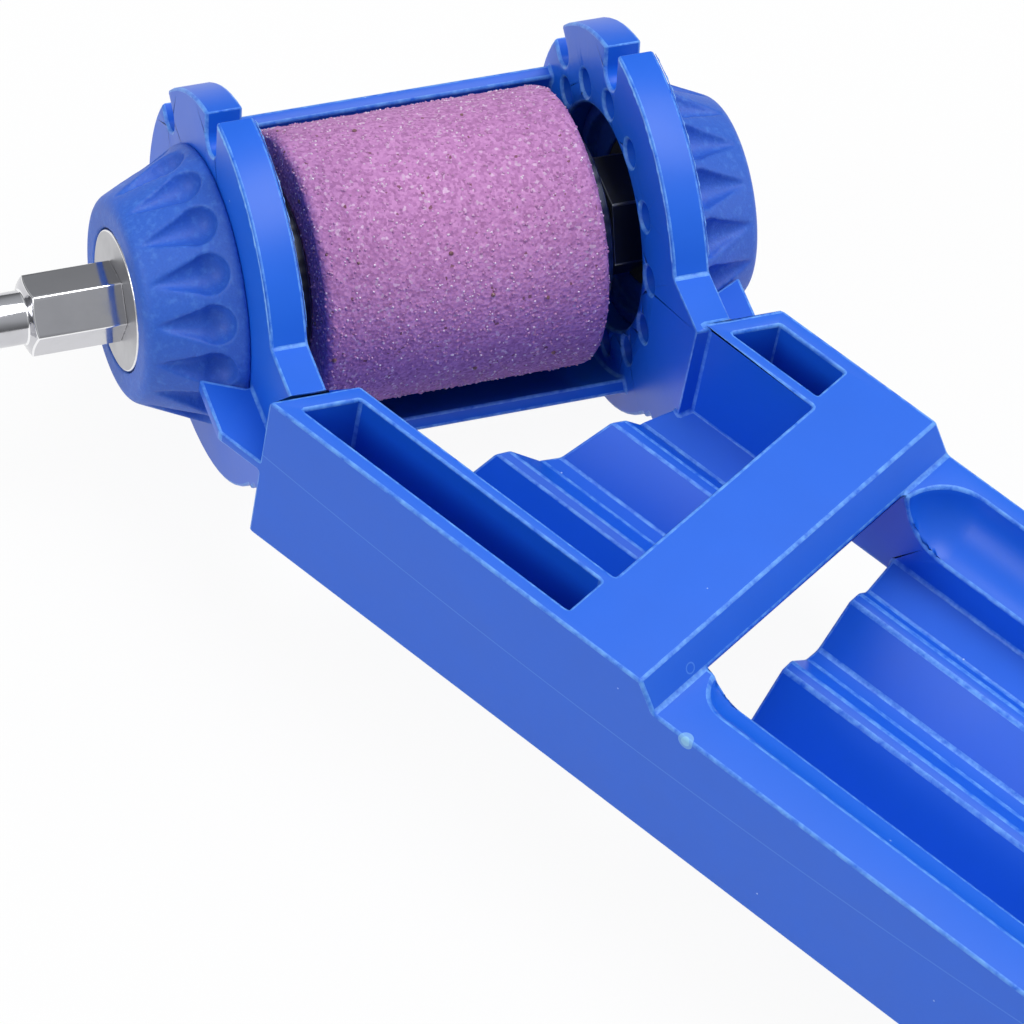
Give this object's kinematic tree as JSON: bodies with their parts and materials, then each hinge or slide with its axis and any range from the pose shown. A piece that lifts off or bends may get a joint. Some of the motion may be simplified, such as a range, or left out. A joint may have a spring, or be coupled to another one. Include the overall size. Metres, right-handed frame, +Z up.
{
  "type": "drill bit sharpener",
  "caption": "Hand-held drill bit sharpener: abrasive drum on a hex-shank spindle between two cheeks, with a stepped V-groove handle that guides the bit.",
  "frame": {"origin": "centre of the abrasive drum, on the spindle's axis", "axes": "+X along the handle away from the drum, +Z up from the grooves, the spindle in the XY plane turned 31 degrees from +Y towards +X"},
  "size_m": [0.1774, 0.0717, 0.0366],
  "materials": {
    "body_plastic": "satin moulded ABS",
    "cap_plastic": "fine spark texture",
    "chrome_steel": "bright chrome plate",
    "abrasive": "bonded pink corundum grit",
    "bush_plastic": "dull",
    "plain_steel": "zinc plated",
    "bearing_steel": "ground",
    "cage_brass": "pressed",
    "felt": "dense felt",
    "washer_steel": "polished",
    "spring_steel": "blackened",
    "dark_steel": "blackened"
  },
  "bodies": {
    "frame": {"frame": "body_plastic", "bearing_cap_left": "cap_plastic", "bearing_cap_right": "cap_plastic", "bearing_outer_left": "bearing_steel", "bearing_outer_right": "bearing_steel", "dust_seal_left": "felt", "dust_seal_right": "felt"},
    "spindle": {"spindle": "chrome_steel", "grinding_drum": "abrasive", "drum_bush": "bush_plastic", "flange_left": "dark_steel", "flange_right": "dark_steel", "lock_washer": "dark_steel", "clamp_nut": "dark_steel", "spacer_left": "plain_steel", "spacer_right": "plain_steel", "bearing_inner_left": "bearing_steel", "bearing_inner_right": "bearing_steel", "end_washer_left": "washer_steel", "end_washer_right": "washer_steel", "retaining_ring": "spring_steel"},
    "cage_left": {"bearing_balls_left": "bearing_steel", "bearing_cage_left": "cage_brass"},
    "cage_right": {"bearing_balls_right": "bearing_steel", "bearing_cage_right": "cage_brass"}
  },
  "joints": [
    {"name": "spindle_spin", "type": "hinge", "parent": "frame", "child": "spindle", "pos_m": [0, 0, 0], "axis": [0.515, 0.8572, 0], "continuous": true},
    {"name": "cage_left_spin", "type": "hinge", "parent": "frame", "child": "cage_left", "pos_m": [0, 0, 0], "axis": [0.515, 0.8572, 0], "continuous": true},
    {"name": "cage_right_spin", "type": "hinge", "parent": "frame", "child": "cage_right", "pos_m": [0, 0, 0], "axis": [0.515, 0.8572, 0], "continuous": true}
  ],
  "couplings": [
    {"joint": "cage_left_spin", "follows": "spindle_spin", "ratio": 0.3842},
    {"joint": "cage_right_spin", "follows": "spindle_spin", "ratio": 0.3842}
  ]
}
